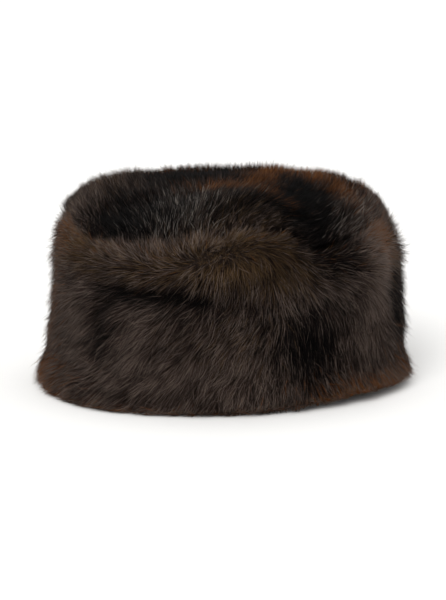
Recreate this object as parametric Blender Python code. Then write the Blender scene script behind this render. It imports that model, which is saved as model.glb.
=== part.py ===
"""A fur pillbox hat, as the two pieces of fur cloth that it is sewn from: a side band and a crown top.

Metres, +Z up. The origin is the middle of the hem, on the surface that the hat rests on. The front faces -Y.
Azimuth 0 is the front, and it grows towards +X. The pile is one closed skin with its cloth: each piece is
a wall as thick as its dense underfur, cut into diamonds that are drawn out into leaning, pointed locks.
"""

import math

import bmesh
import bpy
from mathutils import Euler, Matrix, Vector, noise

# Driving sizes of the hat as it stands, over the tips of its pile
HEM_HALF_WIDTH = 0.112
HEM_HALF_DEPTH = 0.115
SEAM_HEIGHT = 0.1030
CROWN_HEIGHT = 0.1160

# Sizes of the hollow for the head
HEAD_HALF_WIDTH = 0.0925
TAPER_OF_HOLLOW = 0.0040

# The crown top lies on the band's top edge, with the gap of a seam between them, and rounds down to it
SEAM_GAP = 0.0003
CROWN_RADIUS = 0.0920
CROWN_EDGE = 0.0012
SHOULDER_POWER = 9

# Where the crown's hollows fade out towards its rim, as shares of its radius
HOLLOWS_FADE_FROM = 0.74

# How finely each piece is cut, as cells before they are turned into diamonds
BAND_COLUMNS = 44
BAND_ROWS = 7
HOLLOW_ROWS = 3
CROWN_CELLS = 11

# Radii of the band's plain wall before it is shaped
HOLLOW_SIDE = 1.0
FUR_SIDE = 2.0

# A lock of pile: how far it runs along the cloth, and how far its tip stands off the underfur
LOCK_REACH = 0.0140
LOCK_LIFT = 0.0070
HEM_CLEARANCE = 0.0006

# Locks grow longer and shorter by this share, in patches about this wide
LOCK_VARIES = 0.35
PATCH_WIDTH = 0.013

# Locks near the crown's rim are shorter: share of the radius at which that starts, share of size left at the rim
RIM_FROM = 0.85
RIM_LOCK_SIZE = 0.75

# Each lock is drawn out in these steps: share of its reach, share of its lift, width that is left
LOCK_STEPS = (
    (0.40, 0.72, 0.50),
    (1.00, 1.00, 0.00),
)

# Outline of the pile's tips up the band: height, share of the half width at the hem
BAND_OUTLINE = (
    (0.000, 0.990),
    (0.008, 1.000),
    (0.026, 0.974),
    (0.052, 0.964),
    (0.077, 0.946),
    (0.090, 0.938),
    (0.103, 0.886),
)

# Hollows (positive) and swells (negative) of the band: azimuth, height, reach in degrees, reach in height, depth
BAND_HOLLOWS = (
    (-16, 0.070, 22, 0.009, 0.0045),
    (8, 0.060, 14, 0.008, 0.0045),
    (34, 0.036, 13, 0.020, 0.0055),
    (-50, 0.080, 9, 0.010, 0.0030),
    (70, 0.072, 7, 0.026, 0.0040),
    (128, 0.058, 18, 0.013, 0.0045),
    (172, 0.082, 16, 0.011, 0.0040),
    (-122, 0.044, 16, 0.016, 0.0045),
    (-35, 0.092, 20, 0.009, -0.0020),
    (8, 0.088, 20, 0.014, -0.0030),
    (56, 0.055, 9, 0.026, -0.0025),
    (-90, 0.062, 24, 0.018, 0.0018),
    (92, 0.060, 26, 0.034, -0.0022),
    (-56, 0.002, 20, 0.013, -0.0085),
)

# Hollows (positive) and swells (negative) of the crown top: x, y, reach in x, reach in y, depth
CROWN_HOLLOWS = (
    (-0.044, -0.036, 0.034, 0.024, 0.0065),
    (0.058, -0.014, 0.022, 0.040, 0.0065),
    (0.008, 0.066, 0.034, 0.013, 0.0040),
    (0.012, -0.044, 0.020, 0.026, -0.0030),
    (-0.006, 0.034, 0.046, 0.014, -0.0025),
    (0.004, 0.080, 0.060, 0.012, -0.0035),
)

# Lie of the pile on the band, in degrees from straight down towards -azimuth: azimuth, lean at hem, lean at seam
BAND_LIE = (
    (-180, 8, -4),
    (-140, -10, 8),
    (-95, 6, 12),
    (-62, 26, 30),
    (-30, 34, 50),
    (-5, 22, 28),
    (20, 6, 0),
    (45, -12, -18),
    (75, -16, 8),
    (110, 8, -10),
    (145, 14, 10),
    (180, 8, -4),
)

# Lie of the pile on the crown top: it parts from this point, and turns a little as it runs out
PARTING = Vector((-0.040, -0.082, 0.0))
CROWN_SWIRL = Euler((0, 0, math.radians(6)))


def smoothly(table, at, column=1):
    """The column's value at a place in a table whose first column rises, eased between its rows."""
    rows = list(table)
    if at <= rows[0][0]:
        return rows[0][column]
    for low, high in zip(rows, rows[1:]):
        if at <= high[0]:
            share = eased_share(at, low[0], high[0])
            return low[column] + (high[column] - low[column]) * share
    return rows[-1][column]


def eased_share(at, low, high):
    """0 up to low, 1 from high on, and eased between them."""
    share = min(max((at - low) / (high - low), 0.0), 1.0)
    return (1 - math.cos(math.pi * share)) / 2


def degrees_apart(one, other):
    return (one - other + 180) % 360 - 180


def band_hollow(azimuth, height):
    """How far the band is pressed in at a place, from its table of hollows and swells."""
    total = 0.0
    for centre, level, turn, rise, depth in BAND_HOLLOWS:
        across = degrees_apart(azimuth, centre) / turn
        along = (height - level) / rise
        total += depth * math.exp(-(across**2 + along**2) / 2)
    return total


def crown_hollow(x, y):
    total = 0.0
    for centre_x, centre_y, reach_x, reach_y, depth in CROWN_HOLLOWS:
        across = (x - centre_x) / reach_x
        along = (y - centre_y) / reach_y
        total += depth * math.exp(-(across**2 + along**2) / 2)
    return total


def place_on_oval(azimuth, radius, height):
    """A point of the hat's oval plan, whose half width is the radius."""
    angle = math.radians(azimuth)
    depth = radius * HEM_HALF_DEPTH / HEM_HALF_WIDTH
    return Vector((radius * math.sin(angle), -depth * math.cos(angle), height))


def azimuth_of(point):
    return math.degrees(math.atan2(point.x / HEM_HALF_WIDTH, -point.y / HEM_HALF_DEPTH))


def underfur_radius(azimuth, height):
    """The half width at which the band's locks start."""
    tips = HEM_HALF_WIDTH * smoothly(BAND_OUTLINE, height)
    return tips - LOCK_LIFT - band_hollow(azimuth, height)


def hollow_radius(height):
    return HEAD_HALF_WIDTH - TAPER_OF_HOLLOW * height / SEAM_HEIGHT


def band_lie(point):
    """The unit direction in which the band's pile lies at a point."""
    azimuth = azimuth_of(point)
    share = min(max(point.z / SEAM_HEIGHT, 0.0), 1.0)
    at_hem = smoothly(BAND_LIE, azimuth, 1)
    at_seam = smoothly(BAND_LIE, azimuth, 2)
    lean = math.radians(at_hem + (at_seam - at_hem) * share)
    sideways = (place_on_oval(azimuth - 1, 1, 0) - place_on_oval(azimuth, 1, 0)).normalized()
    return (sideways * math.sin(lean) - Vector((0, 0, math.cos(lean)))).normalized()


def crown_lie(point):
    """The unit direction in which the crown's pile lies: out from its parting, with a slight turn."""
    away = Vector((point.x, point.y, 0)) - PARTING
    away.rotate(CROWN_SWIRL)
    return away.normalized()


def band_lock_size(point):
    return 1 + LOCK_VARIES * noise.noise(point / PATCH_WIDTH)


def crown_lock_size(point):
    at_rim = eased_share(point.xy.length / CROWN_RADIUS, RIM_FROM, 1.0)
    return band_lock_size(point) * (1 - (1 - RIM_LOCK_SIZE) * at_rim)


def turn_into_diamonds(mesh, cells):
    """Cuts each cell at its centre and joins the halves across each shared edge, so they lie in brick bond."""
    inner = [edge for edge in mesh.edges if all(face in cells for face in edge.link_faces)]
    cell_order = [face for face in mesh.faces if face in cells]
    corners = {vertex for face in cell_order for vertex in face.verts}
    corners.update(bmesh.ops.poke(mesh, faces=cell_order)["verts"])
    bmesh.ops.dissolve_edges(mesh, edges=inner, use_verts=False)
    return [face for face in mesh.faces if corners.issuperset(face.verts)]


def draw_out_lock(mesh, base, lie, size, lowest, highest):
    """Draws one diamond of underfur out into a lock that leans along the lie of the pile to a point."""
    normal = base.normal.copy()
    along = (lie - normal * lie.dot(normal)).normalized()
    centre = base.calc_center_median()
    roots = [vertex.co - centre for vertex in base.verts]
    face = base
    for reach_share, lift_share, width in LOCK_STEPS:
        face = bmesh.ops.extrude_discrete_faces(mesh, faces=[face])["faces"][0]
        run = along * LOCK_REACH * size * reach_share
        lift = normal * LOCK_LIFT * size * lift_share
        for vertex, root in zip(face.verts, roots):
            vertex.co = centre + run + lift + root * width
            vertex.co.z = min(max(vertex.co.z, lowest), highest)
    bmesh.ops.pointmerge(mesh, verts=list(face.verts), merge_co=face.calc_center_median())


def raise_pile(mesh, diamonds, lie_at, size_at, lowest, highest):
    """Raises a lock from each diamond, kept between two heights. Its lift follows its reach."""
    for diamond in diamonds:
        centre = diamond.calc_center_median()
        draw_out_lock(mesh, diamond, lie_at(centre), size_at(centre), lowest, highest)


def fur_material(name, colour):
    material = bpy.data.materials.new(name)
    material.use_nodes = True
    shader = material.node_tree.nodes["Principled BSDF"]
    shader.inputs["Base Color"].default_value = (*colour, 1.0)
    shader.inputs["Roughness"].default_value = 0.6
    shader.inputs["Metallic"].default_value = 0.0
    return material


def finish_piece(mesh, name, material):
    bmesh.ops.recalc_face_normals(mesh, faces=list(mesh.faces))
    data = bpy.data.meshes.new(name)
    mesh.to_mesh(data)
    mesh.free()
    data.materials.append(material)
    piece = bpy.data.objects.new(name, data)
    bpy.context.scene.collection.objects.link(piece)
    return piece


def spun_wall(mesh):
    """A plain ring wall, spun from its section: the hollow side at radius 1, the fur side at radius 2."""
    inside = [(HOLLOW_SIDE, SEAM_HEIGHT * i / HOLLOW_ROWS) for i in range(HOLLOW_ROWS + 1)]
    outside = [(FUR_SIDE, SEAM_HEIGHT * (1 - i / BAND_ROWS)) for i in range(BAND_ROWS + 1)]
    section = [mesh.verts.new((radius, 0, height)) for radius, height in inside + outside]
    edges = [mesh.edges.new(pair) for pair in zip(section, section[1:] + section[:1])]
    bmesh.ops.spin(
        mesh,
        geom=section + edges,
        cent=(0, 0, 0),
        axis=(0, 0, 1),
        angle=2 * math.pi,
        steps=BAND_COLUMNS,
        use_merge=True,
    )


def make_side_band(material):
    mesh = bmesh.new()
    spun_wall(mesh)
    halfway = (HOLLOW_SIDE + FUR_SIDE) / 2
    fur_corners = {vertex for vertex in mesh.verts if vertex.co.xy.length > halfway}
    for vertex in mesh.verts:
        azimuth = math.degrees(math.atan2(vertex.co.x, -vertex.co.y))
        height = vertex.co.z
        on_fur_side = vertex in fur_corners
        radius = underfur_radius(azimuth, height) if on_fur_side else hollow_radius(height)
        vertex.co = place_on_oval(azimuth, radius, height)
    bmesh.ops.recalc_face_normals(mesh, faces=list(mesh.faces))
    fur_cells = {face for face in mesh.faces if fur_corners.issuperset(face.verts)}
    diamonds = turn_into_diamonds(mesh, fur_cells)
    mesh.normal_update()
    raise_pile(mesh, diamonds, band_lie, band_lock_size, HEM_CLEARANCE, SEAM_HEIGHT)
    return finish_piece(mesh, "side_band", material)


def crown_point(square, on_top):
    """The place of a corner of the square cutting grid, whose rings become circles, on either side."""
    out = max(abs(square.x), abs(square.y), 1e-9)
    eighth = math.pi / 4 / out
    way = Vector((math.tan(square.x * eighth), math.tan(square.y * eighth))).normalized()
    x, y = CROWN_RADIUS * out * way
    seat = SEAM_HEIGHT + SEAM_GAP
    pressed = crown_hollow(x, y) * (1 - eased_share(out, HOLLOWS_FADE_FROM, 1.0))
    top = CROWN_HEIGHT - (CROWN_HEIGHT - seat - CROWN_EDGE) * out**SHOULDER_POWER - pressed
    height = top if on_top else seat
    return Vector((x, y * HEM_HALF_DEPTH / HEM_HALF_WIDTH, height))


def make_crown_top(material):
    mesh = bmesh.new()
    bmesh.ops.create_grid(mesh, x_segments=CROWN_CELLS, y_segments=CROWN_CELLS, size=1.0)
    under = list(mesh.faces)
    drawn = bmesh.ops.extrude_face_region(mesh, geom=under, use_keep_orig=True)["geom"]
    top = {item for item in drawn if isinstance(item, bmesh.types.BMFace)}
    top_corners = {vertex for face in top for vertex in face.verts}
    for vertex in mesh.verts:
        vertex.co = crown_point(vertex.co, vertex in top_corners)
    bmesh.ops.recalc_face_normals(mesh, faces=list(mesh.faces))
    diamonds = turn_into_diamonds(mesh, top)
    mesh.normal_update()
    raise_pile(mesh, diamonds, crown_lie, crown_lock_size, SEAM_HEIGHT + SEAM_GAP, math.inf)
    return finish_piece(mesh, "crown_top", material)


def centre_over_origin(pieces):
    """Moves the pieces together so that the middle of their box, seen from above, is the origin."""
    corners = [vertex.co for piece in pieces for vertex in piece.data.vertices]
    low = Vector((min(corner.x for corner in corners), min(corner.y for corner in corners), 0.0))
    high = Vector((max(corner.x for corner in corners), max(corner.y for corner in corners), 0.0))
    for piece in pieces:
        piece.data.transform(Matrix.Translation(-(low + high) / 2))


def clear_scene():
    for item in list(bpy.data.objects):
        bpy.data.objects.remove(item)


def make_hat():
    clear_scene()
    side_band = make_side_band(fur_material("band_fur", (0.030, 0.019, 0.014)))
    crown_top = make_crown_top(fur_material("crown_fur", (0.026, 0.016, 0.012)))
    centre_over_origin((side_band, crown_top))


make_hat()
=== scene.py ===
"""A pillbox hat of deep dark brown fur, standing on a pale table. Its pile is grown hair by hair.

Metres, +Z up, the front towards -Y. Azimuth 0 is the front and grows towards +X. The hair grows from the
underfur of a side band and a crown top, lies as it does on the real hat, and gathers into small tufts.
"""

import math

import bmesh
import bpy
import numpy as np
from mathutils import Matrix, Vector, noise


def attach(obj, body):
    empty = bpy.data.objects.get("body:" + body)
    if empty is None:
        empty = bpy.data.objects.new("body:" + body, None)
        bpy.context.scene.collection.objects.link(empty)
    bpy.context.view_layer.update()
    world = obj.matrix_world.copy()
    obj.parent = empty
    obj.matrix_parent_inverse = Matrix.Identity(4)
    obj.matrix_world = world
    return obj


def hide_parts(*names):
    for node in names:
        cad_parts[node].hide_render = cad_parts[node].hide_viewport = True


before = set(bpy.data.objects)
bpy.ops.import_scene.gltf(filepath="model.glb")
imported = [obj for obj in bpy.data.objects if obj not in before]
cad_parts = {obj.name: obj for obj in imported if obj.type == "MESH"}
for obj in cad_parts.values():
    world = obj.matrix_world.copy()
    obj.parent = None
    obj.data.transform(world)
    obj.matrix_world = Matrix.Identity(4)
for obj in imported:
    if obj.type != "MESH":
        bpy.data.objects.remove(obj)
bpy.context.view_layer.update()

# Sizes of the hat, close to those of its solids
HEM_HALF_WIDTH = 0.112
HEM_HALF_DEPTH = 0.115
DEPTH_SHARE = HEM_HALF_DEPTH / HEM_HALF_WIDTH
SEAM_HEIGHT = 0.1030
SEAM_GAP = 0.0003
CROWN_HEIGHT = 0.1140
CROWN_RADIUS = 0.0920
HEAD_HALF_WIDTH = 0.0925
TAPER_OF_HOLLOW = 0.0040
PILE_DEPTH = 0.0072
MIDDLE = np.array((0.0010, 0.0009, 0.0))

# The crown's upright edge above the seam, how squarely its shoulder turns down to it, and the share of its
# radius from which its hollows fade out
CROWN_EDGE = 0.0004
SHOULDER_POWER = 9
HOLLOWS_FADE_FROM = 0.80

# Outline of the pile's tips up the band: height, share of the half width at the hem
BAND_OUTLINE = (
    (0.000, 0.990),
    (0.008, 1.000),
    (0.026, 0.974),
    (0.052, 0.957),
    (0.077, 0.928),
    (0.090, 0.924),
    (0.103, 0.886),
)

# Hollows (positive) and swells (negative) of the band: azimuth, height, reach in both, depth
BAND_HOLLOWS = (
    (-23, 0.073, 17, 0.009, 0.0045),
    (6, 0.061, 12, 0.008, 0.0018),
    (34, 0.036, 13, 0.020, 0.0055),
    (-43, 0.066, 6, 0.016, 0.0026),
    (70, 0.066, 7, 0.020, 0.0040),
    (128, 0.058, 18, 0.013, 0.0045),
    (172, 0.082, 16, 0.011, 0.0040),
    (-122, 0.044, 16, 0.016, 0.0045),
    (-35, 0.092, 20, 0.009, -0.0020),
    (8, 0.088, 20, 0.014, -0.0030),
    (56, 0.055, 9, 0.026, -0.0025),
    (-90, 0.062, 24, 0.018, 0.0018),
    (92, 0.056, 26, 0.030, 0.0006),
    (-42, 0.002, 24, 0.012, -0.0105),
    (33, 0.085, 8, 0.008, 0.0045),
)

# Where the soft hem ends a little above the table: azimuth, height, reach in both, how far
HEM_RAISED = ((50, 0.0, 22, 0.010, 0.0054),)

# How far the soft rim rises or sinks at an azimuth, and its reach down the band and into the crown
RIM_LIFT = (
    (-180, 0.0),
    (-110, 0.0),
    (-80, -0.0040),
    (-52, -0.0125),
    (-20, -0.0125),
    (-5, -0.0050),
    (8, 0.0),
    (18, -0.0005),
    (32, -0.0140),
    (48, -0.0115),
    (63, -0.0045),
    (84, -0.0050),
    (105, -0.0028),
    (130, 0.0),
    (180, 0.0),
)
LIFT_FROM_HEIGHT = 0.060
LIFT_REACH = 0.034

# Hollows (positive) and swells (negative) of the crown top: x, y, reach in both, depth
CROWN_HOLLOWS = (
    (-0.046, -0.034, 0.030, 0.030, 0.0060),
    (0.054, -0.034, 0.018, 0.036, 0.0065),
    (0.000, 0.050, 0.040, 0.013, 0.0035),
    (0.012, -0.058, 0.024, 0.028, -0.0038),
    (-0.006, 0.020, 0.046, 0.012, -0.0020),
    (0.044, 0.062, 0.026, 0.014, -0.0018),
    (0.066, 0.018, 0.010, 0.020, -0.0018),
)

# Lie of the band's pile in degrees from straight down towards -azimuth: azimuth, height, lean
BAND_LIE = (
    (-78, 0.090, 34),
    (-78, 0.060, 12),
    (-75, 0.018, 22),
    (-58, 0.093, 58),
    (-52, 0.076, 34),
    (-52, 0.045, 24),
    (-52, 0.014, 34),
    (-36, 0.094, 84),
    (-35, 0.087, 58),
    (-30, 0.070, 42),
    (-35, 0.045, 30),
    (-35, 0.015, 28),
    (-18, 0.094, 80),
    (-17, 0.086, 46),
    (-15, 0.065, 38),
    (-15, 0.040, 30),
    (-15, 0.015, 25),
    (-3, 0.090, 16),
    (-3, 0.085, 25),
    (0, 0.065, 25),
    (3, 0.048, 42),
    (0, 0.027, 26),
    (0, 0.008, 18),
    (11, 0.088, -14),
    (11, 0.075, 4),
    (13, 0.050, 34),
    (12, 0.025, 20),
    (25, 0.088, -16),
    (25, 0.070, -3),
    (25, 0.045, 10),
    (25, 0.018, 6),
    (40, 0.089, -30),
    (43, 0.080, -34),
    (40, 0.060, -10),
    (39, 0.028, 4),
    (54, 0.093, -72),
    (55, 0.080, -42),
    (54, 0.058, 12),
    (52, 0.040, 16),
    (50, 0.015, 4),
    (70, 0.100, -128),
    (71, 0.087, -38),
    (71, 0.094, -82),
    (74, 0.062, -4),
    (78, 0.030, 2),
    (95, 0.086, -24),
    (95, 0.055, 6),
    (95, 0.015, -4),
    (130, 0.085, 10),
    (130, 0.050, -12),
    (130, 0.015, 8),
    (162, 0.090, 16),
    (165, 0.045, -8),
    (180, 0.075, -14),
    (180, 0.020, 8),
    (-160, 0.090, 12),
    (-160, 0.045, 16),
    (-130, 0.080, -12),
    (-130, 0.035, 10),
    (-102, 0.084, 20),
    (-102, 0.045, 4),
    (-102, 0.012, 14),
    (-100, 0.102, 160),
    (-78, 0.102, 130),
    (-62, 0.102, 125),
    (-50, 0.102, 142),
    (-38, 0.102, 165),
    (-27, 0.102, 180),
    (-16, 0.102, 205),
    (-5, 0.102, 232),
    (6, 0.102, 246),
    (17, 0.102, 250),
    (28, 0.102, 226),
    (40, 0.102, 212),
    (52, 0.102, 216),
    (63, 0.102, 240),
    (80, 0.102, 205),
    (92, 0.102, 196),
    (105, 0.102, 190),
    (118, 0.102, 184),
    (131, 0.102, 178),
    (144, 0.102, 172),
    (157, 0.102, 176),
    (170, 0.102, 184),
    (-177, 0.102, 188),
    (-164, 0.102, 182),
    (-151, 0.102, 176),
    (-138, 0.102, 180),
    (-125, 0.102, 184),
    (-112, 0.102, 176),
)

# Lie of the crown's pile in degrees from straight back towards the right: x, y, heading
CROWN_LIE = (
    (0.000, 0.082, 0),
    (-0.050, 0.066, -30),
    (0.050, 0.066, 30),
    (-0.078, 0.036, -62),
    (0.078, 0.036, 12),
    (-0.088, 0.000, -62),
    (0.088, 0.000, 8),
    (-0.082, -0.034, -54),
    (-0.066, -0.056, -42),
    (-0.050, -0.072, -32),
    (-0.034, -0.080, 14),
    (-0.020, -0.084, 52),
    (-0.006, -0.084, 72),
    (0.012, -0.084, 88),
    (0.030, -0.079, 104),
    (0.043, -0.068, 112),
    (-0.045, -0.030, -14),
    (-0.018, -0.046, 22),
    (0.006, -0.050, 42),
    (0.030, -0.030, 55),
    (0.000, -0.008, 12),
    (-0.040, 0.012, -18),
    (0.036, 0.014, 30),
    (0.000, 0.044, 4),
    (0.056, -0.066, 124),
    (0.070, -0.053, 116),
    (0.060, -0.020, 58),
    (0.083, -0.040, 80),
    (0.082, -0.022, 44),
)

# How near a place must be for its lie to count in full
LIE_REACH = 0.011

# Patches of other colour and of painted light and shade on the band: azimuth, height, reach in both, strength
# Black hair, partly painted shade that darkens the band's hollows
BAND_BLACK_AND_SHADE = (
    (-30, 0.075, 6, 0.006, 0.80),
    (-29, 0.067, 6, 0.005, 0.50),
    (-21, 0.075, 8, 0.006, 0.90),
    (-9, 0.071, 7, 0.006, 0.80),
    (6, 0.063, 9, 0.006, 0.30),
    (29, 0.043, 10, 0.022, 1.00),
    (-44, 0.072, 5, 0.009, 0.14),
    (-42, 0.060, 3, 0.012, 0.45),
    (-40, 0.044, 4, 0.010, 0.65),
    (76, 0.056, 6, 0.013, 0.80),
    (82, 0.036, 6, 0.010, 0.35),
    (34, 0.100, 8, 0.009, 0.75),
    (45, 0.092, 5, 0.009, 0.55),
    (132, 0.058, 14, 0.014, 0.75),
    (172, 0.082, 14, 0.012, 0.70),
    (-122, 0.044, 13, 0.015, 0.75),
    (-160, 0.070, 12, 0.010, 0.50),
)
BAND_OLIVE = (
    (5, 0.092, 15, 0.008, 0.80),
    (20, 0.085, 12, 0.009, 0.32),
    (-59, 0.096, 10, 0.008, 0.70),
    (-30, 0.090, 14, 0.007, 0.35),
    (8, 0.050, 12, 0.010, 0.20),
    (-160, 0.030, 26, 0.015, 0.45),
    (110, 0.085, 20, 0.010, 0.45),
)
# Reddish-brown hair, partly a painted glow of light through the thin tips at the hem, the outline and the rim
BAND_RUST_AND_GLOW = (
    (-76, 0.008, 14, 0.010, 0.55),
    (50, 0.006, 16, 0.008, 0.55),
    (69, 0.095, 6, 0.009, 0.45),
    (-78, 0.094, 10, 0.012, 0.25),
    (82, 0.016, 10, 0.012, 0.35),
    (180, 0.101, 70, 0.007, 0.25),
    (-80, 0.050, 8, 0.026, 0.34),
)
# Painted light and shade: lighter hair where the pile catches the light, darker hair where it lies in shade
BAND_PAINTED_LIGHT = (
    (68, 0.094, 7, 0.009, 1.35),
    (57, 0.092, 5, 0.012, 0.40),
    (70, 0.082, 7, 0.010, 0.50),
    (5, 0.048, 12, 0.008, 0.32),
    (-8, 0.046, 20, 0.011, -0.20),
    (-16, 0.024, 30, 0.009, 0.24),
    (-80, 0.050, 9, 0.030, 0.58),
    (-70, 0.006, 14, 0.010, 0.30),
    (-55, 0.052, 5, 0.014, 0.50),
    (-29, 0.046, 6, 0.014, 0.40),
    (9, 0.040, 5, 0.010, 0.20),
    (44, 0.079, 7, 0.010, 0.15),
    (20, 0.087, 6, 0.010, -0.25),
    (-56, 0.088, 6, 0.006, -0.14),
    (56, 0.004, 20, 0.008, 0.60),
    (74, 0.026, 8, 0.010, 0.40),
    (-50, 0.018, 16, 0.016, 0.15),
    (-28, 0.088, 12, 0.009, -0.06),
    (-48, 0.100, 10, 0.006, 0.22),
    (2, 0.089, 16, 0.009, 0.32),
    (-62, 0.099, 8, 0.006, 0.10),
    (180, 0.100, 80, 0.008, 0.60),
    (26, 0.069, 8, 0.012, 0.50),
    (55, 0.058, 5, 0.018, 0.70),
    (50, 0.020, 12, 0.010, 0.12),
    (-6, 0.095, 8, 0.006, 0.28),
    (-6, 0.058, 6, 0.008, -0.24),
    (70, 0.062, 4, 0.010, -0.35),
    (-22, 0.054, 6, 0.010, 0.18),
    (8, 0.020, 8, 0.012, 0.12),
)

# Share of reddish-brown hair at the hem, all round, and how high it reaches
# It is partly a painted glow of light shining through the thin tips of the hem
HEM_RUST_AND_GLOW = 0.42
HEM_GLOW_HEIGHT = 0.005

# Painted shade over the whole crown top: how much darker its hair is made than the band's
CROWN_PAINTED_SHADE = -0.30

# Patches of other colour and of painted light and shade on the crown top: x, y, reach in both, strength
# Black hair, partly painted shade that darkens the crown's hollows
CROWN_BLACK_AND_SHADE = (
    (-0.046, -0.054, 0.036, 0.030, 1.15),
    (0.050, -0.052, 0.014, 0.040, 0.96),
    (0.032, -0.030, 0.012, 0.024, 0.85),
    (-0.026, 0.030, 0.026, 0.021, 1.10),
    (-0.010, 0.080, 0.026, 0.018, 0.85),
    (0.000, 0.042, 0.020, 0.016, 1.00),
    (0.050, 0.064, 0.022, 0.006, 0.70),
    (0.074, 0.022, 0.006, 0.020, 0.70),
    (0.038, 0.012, 0.010, 0.020, 0.80),
    (0.020, -0.066, 0.016, 0.012, 0.50),
)
CROWN_OLIVE = (
    (0.006, -0.080, 0.024, 0.014, 0.45),
    (-0.070, 0.030, 0.024, 0.030, 0.30),
)
# Reddish-brown hair, partly a painted glow of light through the tips on the rear rim, and painted light on
# the ridges
CROWN_RUST_AND_GLOW = (
    (0.020, 0.078, 0.018, 0.006, 0.80),
    (0.044, 0.076, 0.016, 0.006, 0.80),
    (0.066, 0.056, 0.010, 0.008, 0.75),
    (0.082, 0.026, 0.006, 0.014, 0.60),
    (0.018, 0.028, 0.008, 0.008, 0.90),
    (0.026, 0.045, 0.008, 0.008, 0.95),
    (0.042, 0.048, 0.012, 0.006, 0.90),
    (0.055, 0.026, 0.007, 0.010, 0.90),
    (0.066, -0.002, 0.006, 0.013, 0.80),
    (0.074, -0.026, 0.006, 0.008, 0.45),
    (-0.014, -0.008, 0.010, 0.007, 0.40),
    (-0.003, -0.026, 0.010, 0.007, 1.00),
    (0.009, -0.036, 0.009, 0.007, 1.00),
    (0.014, -0.010, 0.006, 0.010, 0.95),
    (0.021, 0.014, 0.006, 0.012, 0.95),
    (0.020, -0.052, 0.008, 0.006, 0.65),
    (-0.052, 0.062, 0.028, 0.012, 0.75),
)
# Painted glints: pale hairs that stand for highlights on the pile in the crown's hollows
CROWN_PAINTED_GLINT = (
    (-0.024, -0.058, 0.016, 0.022, 0.24),
    (0.072, -0.044, 0.010, 0.022, 0.15),
)
# Painted light and shade: lighter hair where the pile catches the light, darker hair where it lies in shade
CROWN_PAINTED_LIGHT = (
    (-0.084, -0.034, 0.009, 0.028, 0.60),
    (-0.006, -0.089, 0.024, 0.005, 0.15),
    (0.014, -0.074, 0.018, 0.012, -0.08),
    (-0.064, 0.036, 0.016, 0.024, 0.80),
    (-0.010, 0.040, 0.020, 0.030, -0.32),
    (-0.016, 0.014, 0.014, 0.012, -0.22),
    (0.060, 0.060, 0.034, 0.024, 0.60),
    (0.088, -0.020, 0.008, 0.030, 0.36),
)

# How many hairs grow on each piece, and the sides that the band's joined hair is cut into
BAND_HAIRS = 111000
CROWN_HAIRS = 49000
BAND_SIDES = ("front", "right", "back", "left")
SEED = 11

# Two steps, of no common measure, that spread places evenly over a square
EVEN_STEPS = np.array((0.7548776662, 0.5698402910))

# One hair: its length, its half width drawn about three times too wide to show, its sides, how far up its
# belly is and how far that is turned, its rise from the cloth, and how much steeper it starts
HAIR_LENGTH = 0.0145
CROWN_HAIR_LENGTH = 0.0120
HAIR_HALF_WIDTH = 0.00013
HAIR_SIDES = 3
BELLY_AT = 0.45
BELLY_TURN = math.radians(20)
HAIR_RISE = math.radians(19)
CROWN_HAIR_RISE = math.radians(27)
HAIR_BEND = math.radians(26)
STEEPEST_START = math.radians(88)

# How much one hair differs from the next in length, as a share, in rise, in radians, and in half width, as
# the smallest and largest share
BAND_LENGTH_SPREAD = 0.12
CROWN_LENGTH_SPREAD = 0.14
BAND_RISE_SPREAD = 0.10
CROWN_RISE_SPREAD = 0.13
BAND_WIDTHS = (0.6, 1.3)
CROWN_WIDTHS = (0.6, 1.2)

# Patches of longer, steeper and lighter hair: how wide they are, how much longer and steeper their hair is,
# and where in the noise band and crown find them, so that no two patterns look alike
LONGER_PATCH = 0.012
STEEPER_PATCH = 0.010
LIGHTER_PATCH = 0.009
PATCH_LONGER = 0.16
PATCH_STEEPER = 0.25
BAND_SHIFTS = (21.0, 33.0, 51.0)
CROWN_SHIFTS = (25.0, 37.0, 57.0)
NOISE_TO_ONE = 1.6

# How the lie wanders from patch to patch: degrees, width of the patches, place in the noise
WANDERS = ((12, 0.017, 5.0), (15, 0.0065, 13.0))

# How far one hair turns from the lie, in radians. Where the lies near it disagree, it turns and rises more
HAIR_TURN = 0.14
DISAGREED_TURN = 0.8
DISAGREED_POWER = 1.5
DISAGREED_RISE = math.radians(62)

# The band's hair is shorter on the rim. The crown's is shorter and steeper where it lies outwards on the
# rim, which begins at a share of the radius, and shorter towards the rear
RIM_FROM_HEIGHT = 0.084
RIM_REACH = 0.019
RIM_SHORTER = 0.32
CROWN_RIM_FROM = 0.78
CROWN_RIM_REACH = 0.22
OUTWARD_SHORTER = 0.34
OUTWARD_STEEPER = math.radians(22)
REAR_REACH = 0.06
REAR_SHORTER = 0.22

# By the seam hair that lies towards it crosses it, the band's flatter, longer and draped over the crown.
# Hair that lies away from it stands up, shorter and scattered. More hair grows there, to cover the cloth
SEAM_CROSSING = 0.008
BAND_FLATTER = math.radians(10)
CROSSING_LONGER = 0.45
DRAPE = 0.55
SEAM_STANDING = 0.0055
LYING_COUNTS = 1.4
STANDING_RISE = math.radians(66)
STANDING_SHORTER = 0.38
STANDING_TURN = math.radians(40)
SEAM_CROWDING = 1.7
BAND_CROWDING_REACH = 0.06
CROWN_CROWDING_REACH = 0.12
CROWDING_STEPS = 400

# Heights by the hem: the lowest root, the lowest point of a hair, the lowest tip, and how tips differ
LOWEST_ROOT = 0.0008
LOWEST_POINT = 0.0003
LOWEST_TIP = 0.0006
TIP_SPREAD = 0.0020

# Stray hairs that stand off the pile: their share, and how much longer, steeper, more turned and lighter
STRAYS = 0.06
STRAY_LENGTH = 1.06
STRAY_RISE = math.radians(10)
STRAY_TURN = math.radians(26)
STRAY_SHADE = 1.0

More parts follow.
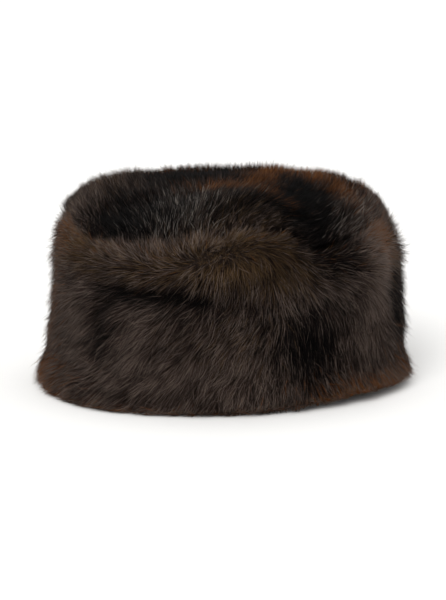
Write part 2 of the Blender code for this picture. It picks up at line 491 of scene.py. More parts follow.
# Fine wisps, small tufts and broad locks that the hairs gather into: width, how far the tips close up, and
# how much lighter or darker one is than the next. A hair's bend follows its tip by a share
TUFTS = ((0.0015, 0.42, 1.0), (0.0044, 0.24, 0.8), (0.0120, 0.18, 0.3))
BEND_FOLLOWS = 0.35

# The tufts' pattern: its size in tufts, the share of a tuft's place that its middle keeps off each side,
# the band's radius that it is laid round, and how far it is moved for the crown
PATTERN_TUFTS = 512
TUFT_MARGIN = 0.05
PATTERN_RADIUS = 0.100
PATTERN_SHIFT = 0.5

# Where along the width of the colour map each kind of hair has its strip: low edge, high edge
STRIPS = {
    "black_and_shade": (0.02, 0.14),
    "brown": (0.19, 0.31),
    "taupe": (0.36, 0.48),
    "olive": (0.53, 0.65),
    "rust_and_glow": (0.70, 0.82),
    "painted_glint": (0.87, 0.97),
}

# How far across its strip the lightest hair of a kind lies from the darkest, and a hair's half width
STRIP_SPAN = 0.115
MAP_HALF_WIDTH = 0.008

# Shares of the kinds: taupe among plain hair, what a patch of painted light adds to it, and the most of any
# other
TAUPE_SHARE = 0.50
TAUPE_BY_LIGHT = 0.35
LARGEST_SHARE = 0.97

# How light a hair is within its kind, from 0 to 1: by itself, and what shade, patches and chance add
LIGHTNESS = 0.42
LIGHTNESS_BY_SHADE = 0.25
# Patches of painted light make a hair lighter, and so does the painted glow in reddish-brown hair
LIGHTNESS_BY_LIGHT = 0.8
LIGHTNESS_BY_RUST_AND_GLOW = 0.25
LIGHTNESS_SPREAD = 0.30

# Faces of the backings: up the band's two sides, round the band, and along the crown's square sheet
HEAD_SIDE_ROWS = 6
FUR_SIDE_ROWS = 30
BAND_COLUMNS = 144
CROWN_SQUARES = 48

# From one loop of the knitted backing to the next
KNIT_PITCH = 0.0013

# Steps over which a surface's slopes are taken: degrees round the hat, metres along it
AZIMUTH_STEP = 0.5
LENGTH_STEP = 0.0005

# The camera: its distance, degrees above the hat, half the height that it sees there, and where it aims
CAMERA_DISTANCE = 1.6
CAMERA_RISE = 10.5
HALF_FRAME = 0.183
CAMERA_AIM = (-0.0009, 0, 0.0471)

# The table's radius, wide enough to fill the view, and the strength of the light from the white walls
TABLE_RADIUS = 14.0
ROOM_LIGHT = 0.62


def eased(table, at):
    """The second column's values at places in a table whose first column rises, eased between its rows."""
    stops, values = np.array(table, float).T
    row = np.clip(np.searchsorted(stops, at) - 1, 0, len(stops) - 2)
    share = np.clip((at - stops[row]) / (stops[row + 1] - stops[row]), 0, 1)
    share = (1 - np.cos(math.pi * share)) / 2
    return values[row] * (1 - share) + values[row + 1] * share


def degrees_apart(one, other):
    return (one - other + 180) % 360 - 180


def band_patches(table, azimuth, height):
    """The sum of a table's soft patches at places on the band."""
    total = np.zeros_like(azimuth)
    for centre, level, turn, rise, strength in table:
        across = degrees_apart(azimuth, centre) / turn
        along = (height - level) / rise
        total += strength * np.exp(-(across**2 + along**2) / 2)
    return total


def crown_patches(table, x, y):
    """The sum of a table's soft patches at places on the crown top."""
    total = np.zeros_like(x)
    for centre_x, centre_y, reach_x, reach_y, strength in table:
        across = (x - centre_x) / reach_x
        along = (y - centre_y) / reach_y
        total += strength * np.exp(-(across**2 + along**2) / 2)
    return total


def on_oval(azimuth, radius, height):
    """Points of the hat's oval plan, whose half width is the radius."""
    angle = np.radians(azimuth)
    places = (radius * np.sin(angle), -radius * DEPTH_SHARE * np.cos(angle), height + 0 * angle)
    return np.stack(places, axis=-1) + MIDDLE


def band_lift(azimuth, height):
    share = np.clip((height - LIFT_FROM_HEIGHT) / (SEAM_HEIGHT - LIFT_FROM_HEIGHT), 0, 1)
    at_rim = eased(RIM_LIFT, azimuth) * (1 - np.cos(math.pi * share)) / 2
    return at_rim + band_patches(HEM_RAISED, azimuth, height)


def band_underfur(azimuth, height):
    tips = HEM_HALF_WIDTH * eased(BAND_OUTLINE, height)
    radius = tips - PILE_DEPTH - band_patches(BAND_HOLLOWS, azimuth, height)
    return on_oval(azimuth, radius, height + band_lift(azimuth, height))


def crown_lift(x, y):
    inward = CROWN_RADIUS - np.hypot(x, y)
    return eased(RIM_LIFT, np.degrees(np.arctan2(x, -y))) * np.exp(-((inward / LIFT_REACH) ** 2))


def crown_underfur(x, y):
    out = np.clip(np.hypot(x, y) / CROWN_RADIUS, 0, 1)
    seat = SEAM_HEIGHT + SEAM_GAP
    fade = np.clip((out - HOLLOWS_FADE_FROM) / (1 - HOLLOWS_FADE_FROM), 0, 1)
    pressed = crown_patches(CROWN_HOLLOWS, x, y) * (1 + np.cos(math.pi * fade)) / 2
    height = CROWN_HEIGHT - (CROWN_HEIGHT - seat - CROWN_EDGE) * out**SHOULDER_POWER - pressed
    return np.stack((x, y * DEPTH_SHARE, height + crown_lift(x, y)), axis=-1) + MIDDLE


def unit(rows):
    return rows / np.maximum(np.linalg.norm(rows, axis=-1, keepdims=True), 1e-12)


def level_way(places):
    """The way from the hat's middle to each place, seen from above."""
    return unit(places * np.array((1, 1, 0)))


def cross_slopes(surface, one, other, step_one, step_other):
    """The two slopes of a surface along its two measures, and its outward normal."""
    along_one = unit(surface(one + step_one, other) - surface(one - step_one, other))
    along_other = unit(surface(one, other + step_other) - surface(one, other - step_other))
    return along_one, along_other, unit(np.cross(along_one, along_other))


def band_slopes(azimuth, height):
    return cross_slopes(band_underfur, azimuth, height, AZIMUTH_STEP, LENGTH_STEP)


def crown_slopes(x, y):
    return cross_slopes(crown_underfur, x, y, LENGTH_STEP, LENGTH_STEP)


def ripple(points, width, shift):
    """Smooth unevenness between about -1 and 1, in patches as wide as this."""
    places = (points / width + shift).tolist()
    return np.array([noise.noise(place) for place in places]) * NOISE_TO_ONE


def patchiness(root, shifts):
    """How much longer, steeper and lighter each hair is for its patches."""
    widths = (LONGER_PATCH, STEEPER_PATCH, LIGHTER_PATCH)
    return [ripple(root, width, shift) for width, shift in zip(widths, shifts)]


def even_spread(count):
    """Even places in the unit square that follow no lines."""
    order = np.arange(1, count + 1)[:, None]
    return np.modf(0.5 + order * EVEN_STEPS)[0]


def crowded(share, reach):
    """Turns even shares from 0 to 1 into places from 0 to 1 that lie closer together within a reach of 1."""
    at = np.linspace(0, 1, CROWDING_STEPS)
    sums = np.cumsum(1 + SEAM_CROWDING * np.exp(-(((1 - at) / reach) ** 2)))
    return np.interp(share, (sums - sums[0]) / (sums[-1] - sums[0]), at)


def stand_up(lie, normal, rise, reach, towards_seam, from_seam, chance):
    """Near the seam, hair that doesn't lie towards it stands up, shorter and scattered."""
    standing = np.exp(-((from_seam / SEAM_STANDING) ** 2)) * (1 - np.clip(LYING_COUNTS * towards_seam, 0, 1))
    turn = (chance.normal(0, 1, len(rise)) * STANDING_TURN * standing)[:, None]
    lie = lie * np.cos(turn) + np.cross(normal, lie) * np.sin(turn)
    rise = rise + np.clip(STANDING_RISE - rise, 0, None) * standing
    return lie, rise, reach * (1 - STANDING_SHORTER * standing)


def to_tuft(one, other, width, around, chance):
    """From each place to the middle of its tuft, along both measures, and the tuft's own shade from -1 to 1.
    Around is the length that closes on itself."""
    columns = max(round(around / width), 1) if around else PATTERN_TUFTS
    cell = around / columns if around else width
    jitter = chance.random((columns, PATTERN_TUFTS, 2)) * (1 - 2 * TUFT_MARGIN) + TUFT_MARGIN
    own_shade = chance.uniform(-1, 1, (columns, PATTERN_TUFTS))
    column = np.floor(one / cell).astype(int)
    row = np.floor(other / width).astype(int)
    best = np.full(len(one), np.inf)
    result = np.zeros((len(one), 3))
    for i in (-1, 0, 1):
        for j in (-1, 0, 1):
            cell_at = (column + i) % columns, (row + j) % PATTERN_TUFTS
            middle = jitter[cell_at]
            gap_one = (column + i + middle[:, 0]) * cell - one
            gap_other = (row + j + middle[:, 1]) * width - other
            apart = gap_one**2 + gap_other**2
            nearer = apart < best
            best[nearer] = apart[nearer]
            result[nearer] = np.stack((gap_one, gap_other, own_shade[cell_at]), axis=-1)[nearer]
    return result


def gather(one, other, along_one, along_other, around, shade, chance):
    """Each hair's pull towards the middles of its tufts, and its shade with theirs added."""
    pulls = np.zeros((len(one), 3))
    for width, closing, contrast in TUFTS:
        gaps = to_tuft(one, other, width, around, chance)
        pulls += closing * (gaps[:, :1] * along_one + gaps[:, 1:2] * along_other)
        shade = shade + contrast * gaps[:, 2]
    return pulls, shade


def one_hair():
    """A hair spun from its section: points at root and tip and a belly between. Its corners and faces."""
    mesh = bmesh.new()
    belly = (math.cos(BELLY_TURN), math.sin(BELLY_TURN), BELLY_AT)
    section = [mesh.verts.new(place) for place in ((0, 0, 0), belly, (0, 0, 1))]
    edges = [mesh.edges.new(pair) for pair in zip(section, section[1:])]
    bmesh.ops.spin(
        mesh,
        geom=section + edges,
        cent=(0, 0, 0),
        axis=(0, 0, 1),
        angle=2 * math.pi,
        steps=HAIR_SIDES,
        use_merge=True,
    )
    bmesh.ops.remove_doubles(mesh, verts=list(mesh.verts), dist=1e-6)
    bmesh.ops.triangulate(mesh, faces=list(mesh.faces))
    bmesh.ops.recalc_face_normals(mesh, faces=list(mesh.faces))
    mesh.verts.index_update()
    corners = np.array([vertex.co for vertex in mesh.verts])
    faces = np.array([[vertex.index for vertex in face.verts] for face in mesh.faces])
    mesh.free()
    return corners, faces


def join_hairs(name, hairs, material):
    """One mesh of many hairs. Each bends from its root through its bend point to its tip."""
    corners, faces = one_hair()
    count = len(hairs["root"])
    along = corners[:, 2][None, :, None]
    root, bend, tip = (hairs[key][:, None, :] for key in ("root", "bend", "tip"))
    centre = (1 - along) ** 2 * root + 2 * along * (1 - along) * bend + along**2 * tip
    side = unit(np.cross(tip - root, hairs["normal"][:, None, :]))
    out = unit(np.cross(side, tip - root))
    width = hairs["width"][:, None, None]
    places = centre + width * (corners[:, 0][None, :, None] * side + corners[:, 1][None, :, None] * out)
    places[..., 2] = np.maximum(places[..., 2], LOWEST_POINT)

    data = bpy.data.meshes.new(name)
    data.vertices.add(count * len(corners))
    data.vertices.foreach_set("co", places.astype(np.float32).ravel())
    loops = (faces.ravel()[None, :] + np.arange(count)[:, None] * len(corners)).ravel()
    data.loops.add(len(loops))
    data.loops.foreach_set("vertex_index", loops.astype(np.int32))
    data.polygons.add(count * len(faces))
    data.polygons.foreach_set("loop_start", np.arange(0, len(loops), 3, dtype=np.int32))
    across = hairs["tone"][:, None] + MAP_HALF_WIDTH * corners[faces.ravel(), 0][None, :]
    up = np.broadcast_to(corners[faces.ravel(), 2][None, :], across.shape)
    colour_map = data.uv_layers.new(name="OFBake")
    colour_map.uv.foreach_set("vector", np.stack((across, up), axis=-1).astype(np.float32).ravel())
    data.update(calc_edges=True)
    data.shade_smooth()
    data.materials.append(material)
    return put_in_scene(name, data)


def put_in_scene(name, data):
    """A new object that holds this data, at the origin."""
    holder = bpy.data.objects.new(name, data)
    bpy.context.scene.collection.objects.link(holder)
    return holder


def pick_tones(chance, black_and_shade, rust_and_glow, olive, painted_glint, light, shade):
    """Each hair's place across the colour map: the strip of its kind, and how light it is within it."""
    count = len(shade)
    draw = chance.random(count)
    taupe = chance.random(count) < TAUPE_SHARE + TAUPE_BY_LIGHT * light
    low = np.where(taupe, STRIPS["taupe"][0], STRIPS["brown"][0])
    for kind, share in (("olive", olive), ("black_and_shade", black_and_shade), ("rust_and_glow", rust_and_glow), ("painted_glint", painted_glint)):
        chosen = draw < np.clip(share, 0, LARGEST_SHARE)
        low = np.where(chosen, STRIPS[kind][0], low)
        for_others, for_chosen = chance.random((2, count))
        draw = np.where(chosen, for_chosen, for_others)
    lightness = LIGHTNESS + LIGHTNESS_BY_SHADE * shade + LIGHTNESS_BY_LIGHT * light
    lightness = lightness + LIGHTNESS_BY_RUST_AND_GLOW * np.clip(rust_and_glow, 0, 1)
    lightness = lightness + chance.normal(0, LIGHTNESS_SPREAD, count)
    return low + np.clip(lightness, 0, 1) * STRIP_SPAN


def combed_places():
    """The places whose lie is given, on band and crown, and the way that the hair lies there."""
    azimuth, height, lean = (np.array(column, float) for column in zip(*BAND_LIE))
    sideways, upward, _ = band_slopes(azimuth, height)
    lean = np.radians(lean)[:, None]
    band_ways = -sideways * np.sin(lean) - upward * np.cos(lean)
    x, y, heading = (np.array(column, float) for column in zip(*CROWN_LIE))
    rightward, rearward, _ = crown_slopes(x, y)
    heading = np.radians(heading)[:, None]
    crown_ways = rightward * np.sin(heading) + rearward * np.cos(heading)
    places = np.concatenate((band_underfur(azimuth, height), crown_underfur(x, y)))
    return places, np.concatenate((band_ways, crown_ways))


def comb(root, normal, stray, chance):
    """The way each hair lies on the cloth, and how far the lies near it agree, from 0 to 1."""
    total = np.zeros_like(root)
    weights = np.zeros((len(root), 1))
    for place, way in zip(*combed_places()):
        apart = ((root - place) ** 2).sum(axis=1, keepdims=True)
        weight = 1 / (apart + LIE_REACH**2) ** 2
        weights += weight
        total += weight * way
    mean = total / weights
    flat = mean - (mean * normal).sum(axis=1, keepdims=True) * normal
    agreed = np.clip(np.linalg.norm(flat, axis=1), 0, 1)
    wander = np.radians(sum(angle * ripple(root, width, shift) for angle, width, shift in WANDERS))
    spread = HAIR_TURN + DISAGREED_TURN * (1 - agreed) ** DISAGREED_POWER + STRAY_TURN * stray
    turn = (wander + chance.normal(0, 1, len(root)) * spread)[:, None]
    lie = unit(flat)
    return lie * np.cos(turn) + np.cross(normal, lie) * np.sin(turn), agreed


def grow(root, normal, lie, reach, rise, width, pulls):
    """The bend and tip of each hair, from its root, its lie on the cloth and its pull towards its tuft."""
    tip = root + reach[:, None] * (np.cos(rise)[:, None] * lie + np.sin(rise)[:, None] * normal)
    bend_rise = np.clip(rise + HAIR_BEND, 0, STEEPEST_START)
    half = 0.5 * reach[:, None]
    bend = root + half * (np.cos(bend_rise)[:, None] * lie + np.sin(bend_rise)[:, None] * normal)
    bend = bend + BEND_FOLLOWS * pulls
    return {"root": root, "bend": bend, "tip": tip + pulls, "normal": normal, "width": width}


def band_hair(chance):
    """The side band's hair, with its azimuth, so that it can be cut into sides."""
    places = even_spread(BAND_HAIRS)
    azimuth = places[:, 0] * 360 - 180
    height = LOWEST_ROOT + crowded(places[:, 1], BAND_CROWDING_REACH) * (SEAM_HEIGHT - LOWEST_ROOT)
    root = band_underfur(azimuth, height)
    sideways, upward, normal = band_slopes(azimuth, height)
    stray = (chance.random(BAND_HAIRS) < STRAYS).astype(float)
    lie, agreed = comb(root, normal, stray, chance)

    longer, steeper, shade = patchiness(root, BAND_SHIFTS)
    at_rim = np.clip((height - RIM_FROM_HEIGHT) / RIM_REACH, 0, 1)
    crossing = np.exp(-(((SEAM_HEIGHT - height) / SEAM_CROSSING) ** 2))
    upward_lying = np.clip(lie[:, 2], 0, 1) * crossing
    by_hair = chance.normal(0, BAND_LENGTH_SPREAD, BAND_HAIRS)
    reach = HAIR_LENGTH * (1 + PATCH_LONGER * longer + by_hair)
    reach = reach * (1 - RIM_SHORTER * at_rim) * (1 + (STRAY_LENGTH - 1) * stray)
    reach = reach * (1 + CROSSING_LONGER * upward_lying)
    rise = HAIR_RISE * (1 + PATCH_STEEPER * steeper)
    rise = rise + np.abs(chance.normal(0, BAND_RISE_SPREAD, BAND_HAIRS))
    rise = rise + DISAGREED_RISE * (1 - agreed) - BAND_FLATTER * crossing + STRAY_RISE * stray
    lie, rise, reach = stand_up(lie, normal, rise, reach, lie[:, 2], SEAM_HEIGHT - height, chance)
    lie = unit(lie - DRAPE * upward_lying[:, None] * level_way(root))
    along_rim = np.radians(azimuth + 180) * PATTERN_RADIUS
    around = 2 * math.pi * PATTERN_RADIUS
    pulls, shade = gather(along_rim, height, sideways, upward, around, shade, chance)
    width = HAIR_HALF_WIDTH * chance.uniform(*BAND_WIDTHS, BAND_HAIRS)
    hairs = grow(root, normal, lie, reach, rise, width, pulls)
    floor = LOWEST_TIP + np.abs(chance.normal(0, TIP_SPREAD, BAND_HAIRS))
    floor = floor + band_patches(HEM_RAISED, azimuth, 0 * height)
    hairs["tip"][:, 2] = np.maximum(hairs["tip"][:, 2], floor)

    black_and_shade = band_patches(BAND_BLACK_AND_SHADE, azimuth, height)
    rust_and_glow = band_patches(BAND_RUST_AND_GLOW, azimuth, height) + HEM_RUST_AND_GLOW * np.exp(-((height / HEM_GLOW_HEIGHT) ** 2))
    olive = band_patches(BAND_OLIVE, azimuth, height)
    light = band_patches(BAND_PAINTED_LIGHT, azimuth, height)
    hairs["tone"] = pick_tones(chance, black_and_shade, rust_and_glow, olive, 0 * black_and_shade, light, shade + STRAY_SHADE * stray)
    return hairs, azimuth


def crown_hair(chance):
    """The crown top's hair, with its place in depth, so that it can be cut into halves."""
    places = even_spread(CROWN_HAIRS)
    out = np.sqrt(crowded(places[:, 0], CROWN_CROWDING_REACH))
    turn = 2 * math.pi * places[:, 1]
    x, y = CROWN_RADIUS * out * np.sin(turn), CROWN_RADIUS * out * np.cos(turn)
    root = crown_underfur(x, y)
    rightward, rearward, normal = crown_slopes(x, y)
    stray = (chance.random(CROWN_HAIRS) < STRAYS).astype(float)
    lie, agreed = comb(root, normal, stray, chance)

    longer, steeper, shade = patchiness(root, CROWN_SHIFTS)
    at_rim = np.clip((out - CROWN_RIM_FROM) / CROWN_RIM_REACH, 0, 1)
    towards_seam = (lie * level_way(root)).sum(axis=1)
    outward = np.clip(towards_seam, 0, 1) * at_rim
    rear = np.clip(y / REAR_REACH, 0, 1)
    by_hair = chance.normal(0, CROWN_LENGTH_SPREAD, CROWN_HAIRS)
    reach = CROWN_HAIR_LENGTH * (1 + PATCH_LONGER * longer + by_hair)
    reach = reach * (1 - OUTWARD_SHORTER * outward) * (1 - REAR_SHORTER * rear)
    reach = reach * (1 + (STRAY_LENGTH - 1) * stray)
    rise = CROWN_HAIR_RISE * (1 + PATCH_STEEPER * steeper)
    rise = rise + np.abs(chance.normal(0, CROWN_RISE_SPREAD, CROWN_HAIRS))
    rise = rise + DISAGREED_RISE * (1 - agreed) + OUTWARD_STEEPER * outward + STRAY_RISE * stray
    lie, rise, reach = stand_up(lie, normal, rise, reach, towards_seam, CROWN_RADIUS * (1 - out), chance)
    pulls, shade = gather(x + PATTERN_SHIFT, y + PATTERN_SHIFT, rightward, rearward, None, shade, chance)
    width = HAIR_HALF_WIDTH * chance.uniform(*CROWN_WIDTHS, CROWN_HAIRS)
    hairs = grow(root, normal, lie, reach, rise, width, pulls)

    black_and_shade = crown_patches(CROWN_BLACK_AND_SHADE, x, y)
    rust_and_glow = crown_patches(CROWN_RUST_AND_GLOW, x, y)
    olive = crown_patches(CROWN_OLIVE, x, y)
    painted_glint = crown_patches(CROWN_PAINTED_GLINT, x, y)
    # Painted shade over the whole crown top, with its patches of painted light and shade
    light = CROWN_PAINTED_SHADE + crown_patches(CROWN_PAINTED_LIGHT, x, y)
    hairs["tone"] = pick_tones(chance, black_and_shade, rust_and_glow, olive, painted_glint, light, shade + STRAY_SHADE * stray)
    return hairs, y


def cut(hairs, chosen):
    return {key: values[chosen] for key, values in hairs.items()}


def linear(code):
    """A hex colour as the eye names it, turned to the linear values that shaders take."""
    shares = [int(code[i : i + 2], 16) / 255 for i in (1, 3, 5)]
    values = [share / 12.92 if share <= 0.04045 else ((share + 0.055) / 1.055) ** 2.4 for share in shares]
    return (*values, 1.0)


def add_node(tree, kind, settings=(), links=()):
    """Adds a node, with its settings as (name or socket, value) and its links as (socket, source socket)."""
    node = tree.nodes.new(kind)
    for name, value in settings:
        if isinstance(name, str) and hasattr(node, name):
            setattr(node, name, value)
        else:
            node.inputs[name].default_value = value
    for socket, source in links:
        tree.links.new(source, node.inputs[socket])
    return node


def set_stops(ramp, stops):
    """Sets a colour ramp's stops, as (position, colour)."""
    while len(ramp.elements) > 1:
        ramp.elements.remove(ramp.elements[-1])
    ramp.elements[0].position, ramp.elements[0].color = stops[0]
    for position, colour in stops[1:]:
        ramp.elements.new(position).color = colour


def new_material(name):
    material = bpy.data.materials.new(name)
    material.use_nodes = True
    return material, material.node_tree, material.node_tree.nodes["Principled BSDF"]


def glossy_guard_hair():
    """Long mink-like guard hair, grown smooth: keratin, dark, with a soft gloss along each hair that gives
    the pile its streaks of light. Its colour map runs over the kinds of hair, painted glints among them, and
    up each hair to its tip, darker at the root as painted shade."""
    material, tree, shader = new_material("glossy_guard_hair")
    place = add_node(tree, "ShaderNodeUVMap", [("uv_map", "OFBake")])
    split = add_node(tree, "ShaderNodeSeparateXYZ", links=[("Vector", place.outputs["UV"])])
    kinds = add_node(tree, "ShaderNodeValToRGB", links=[("Fac", split.outputs["X"])])
    shades = {
        "black_and_shade": ("#050404", "#161312"),
        "brown": ("#17110f", "#4e403a"),
        "taupe": ("#261e1c", "#85766d"),
        "olive": ("#21190f", "#67523a"),
        "rust_and_glow": ("#2d1b0e", "#8a562b"),
        "painted_glint": ("#4e4843", "#b4aca4"),
    }
    stops = []
    for kind, (low, high) in STRIPS.items():
        dark, pale = shades[kind]
        stops += [(low, linear(dark)), (high, linear(pale))]
    set_stops(kinds.color_ramp, stops)
    # Painted shade deep in the pile: each hair darker towards its root, multiplied over its colour
    depth = add_node(tree, "ShaderNodeValToRGB", links=[("Fac", split.outputs["Y"])])
    root_shade_up_the_hair = ((0.0, "#4c4744"), (BELLY_AT, "#b0aaa6"), (1.0, "#ffffff"))
    set_stops(depth.color_ramp, [(at, linear(code)) for at, code in root_shade_up_the_hair])
    shaded_at_root = add_node(
        tree,
        "ShaderNodeMix",
        [("data_type", "RGBA"), ("blend_type", "MULTIPLY"), (0, 1.0)],
        [(6, kinds.outputs["Color"]), (7, depth.outputs["Color"])],
    )
    tree.links.new(shaded_at_root.outputs[2], shader.inputs["Base Color"])
    shader.inputs["IOR"].default_value = 1.55
    shader.inputs["Roughness"].default_value = 0.50
    shader.inputs["Specular IOR Level"].default_value = 0.03
    return material


def underfur_with_painted_shade():
    """Dense soft underfur, matted at the foot of the pile: dull and very dark brown, darker still under the
    patches of dark hair and painted shade. Its darkness is partly painted shade, for the depth of the pile.
    It only shows as depth between the tufts."""
    material, tree, shader = new_material("underfur_with_painted_shade")
    place = add_node(tree, "ShaderNodeTexCoord")
    # Strands of underfur, one about every 1.1 mm
    grain = add_node(
        tree,
        "ShaderNodeTexNoise",
        [("Scale", 900.0), ("Detail", 3.0)],
        [("Vector", place.outputs["Object"])],
    )
    # Very dark brown, partly the underfur's own colour and partly painted shade deep in the pile
    colour = add_node(tree, "ShaderNodeValToRGB", links=[("Fac", grain.outputs["Fac"])])
    set_stops(colour.color_ramp, [(0.30, linear("#140f0c")), (0.72, linear("#2c221c"))])
    under_black_and_shade = add_node(tree, "ShaderNodeAttribute", [("attribute_name", "black_hair_and_shade")])
    # Darker still under the patches of dark hair and painted shade above
    matched = add_node(
        tree,
        "ShaderNodeMix",
        [("data_type", "RGBA"), (7, linear("#060504"))],
        [(0, under_black_and_shade.outputs["Fac"]), (6, colour.outputs["Color"])],
    )
    bump = add_node(
        tree,
        "ShaderNodeBump",
        [("Strength", 0.6), ("Distance", 0.0008)],
        [("Height", grain.outputs["Fac"])],
    )
    tree.links.new(matched.outputs[2], shader.inputs["Base Color"])
    tree.links.new(bump.outputs["Normal"], shader.inputs["Normal"])
    shader.inputs["Roughness"].default_value = 0.9
    shader.inputs["Specular IOR Level"].default_value = 0.06
    return material


def knitted_backing():
    """Plain knitted backing cloth on the head side: matt dark brown yarn in courses and wales of 1.3 mm.
    Their small loops give it a fine, even grain."""
    material, tree, shader = new_material("knitted_backing")
    place = add_node(tree, "ShaderNodeUVMap", [("uv_map", "weave")])
    split = add_node(tree, "ShaderNodeSeparateXYZ", links=[("Vector", place.outputs["UV"])])
    turns = []
    for axis in ("X", "Y"):
        angle = add_node(
            tree,
            "ShaderNodeMath",
            [("operation", "MULTIPLY"), (1, 2 * math.pi / KNIT_PITCH)],
            [(0, split.outputs[axis])],
        )
        turns.append(add_node(tree, "ShaderNodeMath", [("operation", "SINE")], [(0, angle.outputs["Value"])]))
    loops = add_node(
        tree,
        "ShaderNodeMath",
        [("operation", "MULTIPLY")],
        [(0, turns[0].outputs["Value"]), (1, turns[1].outputs["Value"])],
    )
    height = add_node(
        tree,
        "ShaderNodeMapRange",
        [("From Min", -1.0), ("From Max", 1.0)],
        [("Value", loops.outputs["Value"])],
    )
    colour = add_node(tree, "ShaderNodeValToRGB", links=[("Fac", height.outputs["Result"])])
    set_stops(colour.color_ramp, [(0.10, linear("#1b1512")), (0.90, linear("#382d27"))])
    bump = add_node(
        tree,
        "ShaderNodeBump",
        [("Strength", 0.6), ("Distance", 0.0003)],
        [("Height", height.outputs["Result"])],
    )
    tree.links.new(colour.outputs["Color"], shader.inputs["Base Color"])
    tree.links.new(bump.outputs["Normal"], shader.inputs["Normal"])
    shader.inputs["Roughness"].default_value = 0.85
    return material


def new_wall():
    """An empty mesh for a backing. Its layers come first, because a new layer renews the mesh's corners."""
    mesh = bmesh.new()
    mesh.verts.layers.float.new("black_hair_and_shade")
    mesh.loops.layers.uv.new("weave")
    return mesh


def shade_underfur(mesh, black_and_shade):
    """Notes at each corner how dark the hair over it is, with its painted shade, for the underfur to match.
    """
    layer = mesh.verts.layers.float["black_hair_and_shade"]
    for vertex, share in zip(mesh.verts, np.clip(black_and_shade, 0, 1).tolist()):
        vertex[layer] = share


def finish_backing(mesh, name, head_side, unrolled, materials):
    """Turns a shaped wall into a piece: cloth on the faces whose corners are all on the head's side, underfur
    on the others. Unrolled gives a corner's place on the flat cloth, in metres."""
    bmesh.ops.recalc_face_normals(mesh, faces=list(mesh.faces))
    weave = mesh.loops.layers.uv["weave"]
    for face in mesh.faces:
        face.material_index = 1 if head_side.issuperset(face.verts) else 0
        face.smooth = True
        for loop in face.loops:
            loop[weave].uv = unrolled(loop.vert.co, face.calc_center_median())
    data = bpy.data.meshes.new(name)
    mesh.to_mesh(data)
    mesh.free()
    for material in materials:
        data.materials.append(material)
    return put_in_scene(name, data)


def round_the_head(corner, middle):
    """A corner's place on the band's cloth, unrolled from the side on which its face's middle lies."""
    azimuth = math.atan2(corner.x, -corner.y)
    at_middle = math.atan2(middle.x, -middle.y)
    azimuth = at_middle + math.remainder(azimuth - at_middle, 2 * math.pi)
    return azimuth * HEAD_HALF_WIDTH, corner.z - corner.xy.length


def over_the_crown(corner, _):
    return corner.xy


def band_backing(materials):
    """The band's cloth and underfur: a wall spun from its section, then shaped to the oval and its hollows.
    Until then its head side has a radius of 1 and its fur side a radius of 2."""
    mesh = new_wall()
    inside = [(1.0, SEAM_HEIGHT * i / HEAD_SIDE_ROWS) for i in range(HEAD_SIDE_ROWS + 1)]
    outside = [(2.0, SEAM_HEIGHT * (1 - i / FUR_SIDE_ROWS)) for i in range(FUR_SIDE_ROWS + 1)]
    section = [mesh.verts.new((radius, 0, height)) for radius, height in inside + outside]
    edges = [mesh.edges.new(pair) for pair in zip(section, section[1:] + section[:1])]
    bmesh.ops.spin(
        mesh,
        geom=section + edges,
        cent=(0, 0, 0),
        axis=(0, 0, 1),
        angle=2 * math.pi,
        steps=BAND_COLUMNS,
        use_merge=True,
    )
    head_side = {vertex for vertex in mesh.verts if vertex.co.xy.length < 1.5}
    hem = {vertex for vertex in mesh.verts if vertex.co.z < 1e-6}
    azimuths = np.array([math.degrees(math.atan2(vertex.co.x, -vertex.co.y)) for vertex in mesh.verts])
    heights = np.array([vertex.co.z for vertex in mesh.verts])
    shade_underfur(mesh, band_patches(BAND_BLACK_AND_SHADE, azimuths, heights))
    for vertex, azimuth, height in zip(mesh.verts, azimuths, heights):
        if vertex in head_side:
            radius = HEAD_HALF_WIDTH - TAPER_OF_HOLLOW * height / SEAM_HEIGHT
            vertex.co = on_oval(azimuth, radius, height + band_lift(azimuth, height))
        else:
            vertex.co = band_underfur(azimuth, height)
    return finish_backing(mesh, "band_backing", head_side | hem, round_the_head, materials)


def crown_backing(materials):
    """The crown top's cloth and underfur: a square sheet drawn up into a slab and rounded to the plan."""
    mesh = new_wall()
    bmesh.ops.create_grid(mesh, x_segments=CROWN_SQUARES, y_segments=CROWN_SQUARES, size=1.0)
    drawn = bmesh.ops.extrude_face_region(mesh, geom=list(mesh.faces), use_keep_orig=True)["geom"]
    top = {item for item in drawn if isinstance(item, bmesh.types.BMVert)}
    for vertex in mesh.verts:
        out = max(abs(vertex.co.x), abs(vertex.co.y), 1e-9)
        eighth = math.pi / 4 / out
        way = Vector((math.tan(vertex.co.x * eighth), math.tan(vertex.co.y * eighth))).normalized()
        vertex.co.xy = CROWN_RADIUS * out * way
    plan = np.array([vertex.co.xy for vertex in mesh.verts])
    shade_underfur(mesh, crown_patches(CROWN_BLACK_AND_SHADE, *plan.T))
    for vertex, (x, y) in zip(mesh.verts, plan):
        place = crown_underfur(x, y)
        if vertex not in top:
            place[2] = SEAM_HEIGHT + SEAM_GAP + min(float(crown_lift(x, y)), 0.0)
        vertex.co = place
    return finish_backing(mesh, "crown_backing", set(mesh.verts) - top, over_the_crown, materials)


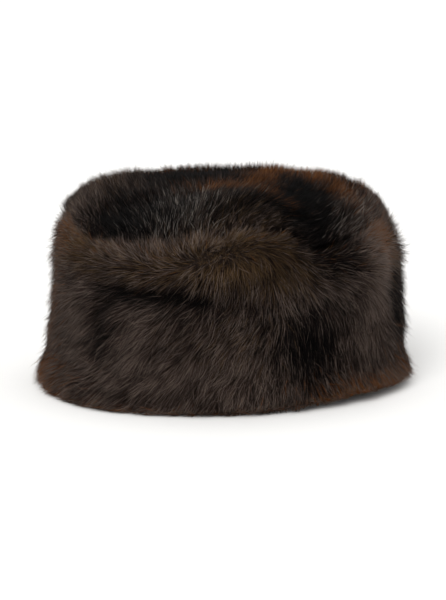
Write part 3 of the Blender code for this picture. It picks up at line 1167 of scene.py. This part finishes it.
def dress_hat():
    """Backings and hair on band and crown, in place of the plain solids."""
    chance = np.random.default_rng(SEED)
    underfur, cloth, hair = underfur_with_painted_shade(), knitted_backing(), glossy_guard_hair()
    band_pieces = [band_backing((underfur, cloth))]
    hairs, azimuth = band_hair(chance)
    from_front = (azimuth + 45) % 360
    for number, side in enumerate(BAND_SIDES):
        chosen = np.floor(from_front / (360 / len(BAND_SIDES))).astype(int) == number
        band_pieces.append(join_hairs("band_fur_" + side, cut(hairs, chosen), hair))
    crown_pieces = [crown_backing((underfur, cloth))]
    hairs, depth = crown_hair(chance)
    for name, chosen in (("crown_fur_front", depth < 0), ("crown_fur_back", depth >= 0)):
        crown_pieces.append(join_hairs(name, cut(hairs, chosen), hair))
    dressed = (band_pieces, "side_band", "band_fur"), (crown_pieces, "crown_top", "crown_fur")
    for pieces, node, slot in dressed:
        for piece in pieces:
            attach(piece, "root")
            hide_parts(node)


def pale_table():
    """The pale matt surface under the hat."""
    mesh = bmesh.new()
    bmesh.ops.create_circle(mesh, cap_ends=True, segments=64, radius=TABLE_RADIUS)
    data = bpy.data.meshes.new("table")
    mesh.to_mesh(data)
    mesh.free()
    table = put_in_scene("table", data)
    material, _, shader = new_material("matt_white_paint")
    shader.inputs["Base Color"].default_value = linear("#f6f5f3")
    shader.inputs["Roughness"].default_value = 0.9
    data.materials.append(material)


def soft_sun(name, place, spread, power):
    """A large soft light, so far off that it falls evenly on hat and table."""
    lamp = bpy.data.lights.new(name, "SUN")
    lamp.angle = math.radians(spread)
    lamp.energy = power
    put_in_scene(name, lamp).rotation_euler = Vector(place).to_track_quat("Z", "Y").to_euler()


def light_studio():
    """White walls all round, a key light from the front left, above, and a weaker one from behind."""
    world = bpy.data.worlds.new("studio")
    world.use_nodes = True
    world.node_tree.nodes["Background"].inputs["Color"].default_value = linear("#ffffff")
    world.node_tree.nodes["Background"].inputs["Strength"].default_value = ROOM_LIGHT
    bpy.context.scene.world = world
    bpy.context.scene.view_settings.view_transform = "Standard"
    soft_sun("key", (-0.6, -2.1, 1.6), 35, 2.6)
    soft_sun("top", (0.25, 0.9, 2.2), 40, 0.5)


def stand_camera():
    """The camera of a product picture: long lens, a little above the hat's crown."""
    camera = bpy.data.cameras.new("camera")
    camera.sensor_fit = "VERTICAL"
    camera.angle = 2 * math.atan(HALF_FRAME / CAMERA_DISTANCE)
    holder = put_in_scene("camera", camera)
    rise = math.radians(CAMERA_RISE)
    aim = Vector(CAMERA_AIM)
    holder.location = aim + CAMERA_DISTANCE * Vector((0, -math.cos(rise), math.sin(rise)))
    holder.rotation_euler = (aim - holder.location).to_track_quat("-Z", "Y").to_euler()
    bpy.context.scene.camera = holder


stand_camera()
light_studio()
pale_table()
dress_hat()
